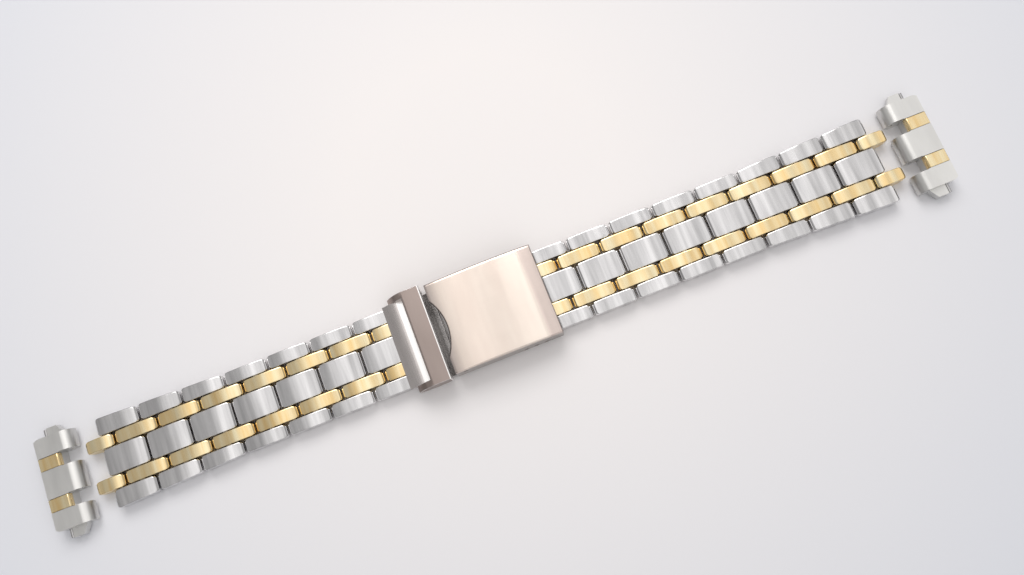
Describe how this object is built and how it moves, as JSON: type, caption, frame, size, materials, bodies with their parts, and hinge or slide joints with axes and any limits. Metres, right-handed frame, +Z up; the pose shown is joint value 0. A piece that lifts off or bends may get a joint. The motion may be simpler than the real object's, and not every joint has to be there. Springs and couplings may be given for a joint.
{
  "type": "link watch bracelet",
  "caption": "Two-tone metal watch bracelet with brick-pattern links, a fold-over clasp with a flip-lock catch and two loose end links.",
  "frame": {"origin": "middle of the closed, flat bracelet, on the surface it lies on", "axes": "+X along the strip towards the longer strap half, +Y across the strip, +Z up through the outer side of the links"},
  "size_m": [0.205, 0.0244, 0.0072],
  "materials": {
    "polished_steel": "polished stainless steel",
    "polished_gold": "polished gold-tone plating",
    "brushed_cover": "fine lengthwise brushing",
    "satin_catch": "satin, bead-blasted look",
    "satin_steel": "satin",
    "blade_steel": "plain rolled sheet",
    "pin_steel": "drawn wire"
  },
  "bodies": {
    "lower_blade": {"clasp_end_piece": "polished_steel", "clasp_lower_blade": "blade_steel", "clasp_lower_pins": "pin_steel"},
    "middle_blade": {"clasp_middle_blade": "blade_steel"},
    "cover": {"clasp_cover": "brushed_cover", "clasp_cover_pins": "pin_steel"},
    "flip_lock": {"flip_lock": "satin_catch"},
    "row_L7": {"row_L7_steel": "polished_steel", "row_L7_gold": "polished_gold", "row_L7_pins": "pin_steel"},
    "row_L6": {"row_L6_steel": "polished_steel", "row_L6_gold": "polished_gold", "row_L6_pins": "pin_steel"},
    "row_L5": {"row_L5_steel": "polished_steel", "row_L5_gold": "polished_gold", "row_L5_pins": "pin_steel"},
    "row_L4": {"row_L4_steel": "polished_steel", "row_L4_gold": "polished_gold", "row_L4_pins": "pin_steel"},
    "row_L3": {"row_L3_steel": "polished_steel", "row_L3_gold": "polished_gold", "row_L3_pins": "pin_steel"},
    "row_L2": {"row_L2_steel": "polished_steel", "row_L2_gold": "polished_gold", "row_L2_pins": "pin_steel"},
    "row_L1": {"row_L1_steel": "polished_steel", "row_L1_gold": "polished_gold", "row_L1_pins": "pin_steel"},
    "tongues_left": {"end_tongues_left": "polished_gold"},
    "end_link_left": {"end_link_left": "satin_steel", "end_link_inserts_left": "polished_gold", "spring_bar_left": "pin_steel"},
    "row_R1": {"row_R1_steel": "polished_steel", "row_R1_gold": "polished_gold", "row_R1_pins": "pin_steel"},
    "row_R2": {"row_R2_steel": "polished_steel", "row_R2_gold": "polished_gold", "row_R2_pins": "pin_steel"},
    "row_R3": {"row_R3_steel": "polished_steel", "row_R3_gold": "polished_gold", "row_R3_pins": "pin_steel"},
    "row_R4": {"row_R4_steel": "polished_steel", "row_R4_gold": "polished_gold", "row_R4_pins": "pin_steel"},
    "row_R5": {"row_R5_steel": "polished_steel", "row_R5_gold": "polished_gold", "row_R5_pins": "pin_steel"},
    "row_R6": {"row_R6_steel": "polished_steel", "row_R6_gold": "polished_gold", "row_R6_pins": "pin_steel"},
    "row_R7": {"row_R7_steel": "polished_steel", "row_R7_gold": "polished_gold", "row_R7_pins": "pin_steel"},
    "row_R8": {"row_R8_steel": "polished_steel", "row_R8_gold": "polished_gold", "row_R8_pins": "pin_steel"},
    "tongues_right": {"end_tongues_right": "polished_gold"},
    "end_link_right": {"end_link_right": "satin_steel", "end_link_inserts_right": "polished_gold", "spring_bar_right": "pin_steel"}
  },
  "joints": [
    {"name": "blade_fold", "type": "hinge", "parent": "lower_blade", "child": "middle_blade", "pos_m": [0.00511, 0, 0.0015], "axis": [0, 1, 0], "range_deg": [0, 165]},
    {"name": "cover_fold", "type": "hinge", "parent": "middle_blade", "child": "cover", "pos_m": [-0.00934, 0, 0.0047], "axis": [0, 1, 0], "range_deg": [-165, 0]},
    {"name": "flip_lock_pivot", "type": "hinge", "parent": "lower_blade", "child": "flip_lock", "pos_m": [-0.01895, 0, 0.003], "axis": [0, 1, 0], "range_deg": [-115, 0]},
    {"name": "row_L7_hinge", "type": "hinge", "parent": "lower_blade", "child": "row_L7", "pos_m": [-0.01795, 0, 0.0016], "axis": [0, 1, 0], "range_deg": [-25, 2]},
    {"name": "row_L6_hinge", "type": "hinge", "parent": "row_L7", "child": "row_L6", "pos_m": [-0.02786, 0, 0.0016], "axis": [0, 1, 0], "range_deg": [-25, 8]},
    {"name": "row_L5_hinge", "type": "hinge", "parent": "row_L6", "child": "row_L5", "pos_m": [-0.03775, 0, 0.0016], "axis": [0, 1, 0], "range_deg": [-25, 8]},
    {"name": "row_L4_hinge", "type": "hinge", "parent": "row_L5", "child": "row_L4", "pos_m": [-0.04766, 0, 0.0016], "axis": [0, 1, 0], "range_deg": [-25, 8]},
    {"name": "row_L3_hinge", "type": "hinge", "parent": "row_L4", "child": "row_L3", "pos_m": [-0.05756, 0, 0.0016], "axis": [0, 1, 0], "range_deg": [-25, 8]},
    {"name": "row_L2_hinge", "type": "hinge", "parent": "row_L3", "child": "row_L2", "pos_m": [-0.06746, 0, 0.0016], "axis": [0, 1, 0], "range_deg": [-25, 8]},
    {"name": "row_L1_hinge", "type": "hinge", "parent": "row_L2", "child": "row_L1", "pos_m": [-0.07735, 0, 0.0016], "axis": [0, 1, 0], "range_deg": [-25, 8]},
    {"name": "tongues_left_hinge", "type": "hinge", "parent": "row_L1", "child": "tongues_left", "pos_m": [-0.08725, 0, 0.0016], "axis": [0, 1, 0], "range_deg": [-25, 8]},
    {"name": "end_link_left_slide", "type": "slide", "parent": "tongues_left", "child": "end_link_left", "axis": [1, 0, 0], "range_m": [0, 0.00475]},
    {"name": "row_R1_hinge", "type": "hinge", "parent": "cover", "child": "row_R1", "pos_m": [0.00881, 0, 0.0016], "axis": [0, 1, 0], "range_deg": [-8, 25]},
    {"name": "row_R2_hinge", "type": "hinge", "parent": "row_R1", "child": "row_R2", "pos_m": [0.0187, 0, 0.0016], "axis": [0, 1, 0], "range_deg": [-8, 25]},
    {"name": "row_R3_hinge", "type": "hinge", "parent": "row_R2", "child": "row_R3", "pos_m": [0.0286, 0, 0.0016], "axis": [0, 1, 0], "range_deg": [-8, 25]},
    {"name": "row_R4_hinge", "type": "hinge", "parent": "row_R3", "child": "row_R4", "pos_m": [0.0385, 0, 0.0016], "axis": [0, 1, 0], "range_deg": [-8, 25]},
    {"name": "row_R5_hinge", "type": "hinge", "parent": "row_R4", "child": "row_R5", "pos_m": [0.0484, 0, 0.0016], "axis": [0, 1, 0], "range_deg": [-8, 25]},
    {"name": "row_R6_hinge", "type": "hinge", "parent": "row_R5", "child": "row_R6", "pos_m": [0.05831, 0, 0.0016], "axis": [0, 1, 0], "range_deg": [-8, 25]},
    {"name": "row_R7_hinge", "type": "hinge", "parent": "row_R6", "child": "row_R7", "pos_m": [0.06821, 0, 0.0016], "axis": [0, 1, 0], "range_deg": [-8, 25]},
    {"name": "row_R8_hinge", "type": "hinge", "parent": "row_R7", "child": "row_R8", "pos_m": [0.0781, 0, 0.0016], "axis": [0, 1, 0], "range_deg": [-8, 25]},
    {"name": "tongues_right_hinge", "type": "hinge", "parent": "row_R8", "child": "tongues_right", "pos_m": [0.088, 0, 0.0016], "axis": [0, 1, 0], "range_deg": [-8, 25]},
    {"name": "end_link_right_slide", "type": "slide", "parent": "tongues_right", "child": "end_link_right", "axis": [-1, 0, 0], "range_m": [0, 0.004]}
  ],
  "couplings": [
    {"joint": "cover_fold", "follows": "blade_fold", "ratio": -1}
  ]
}
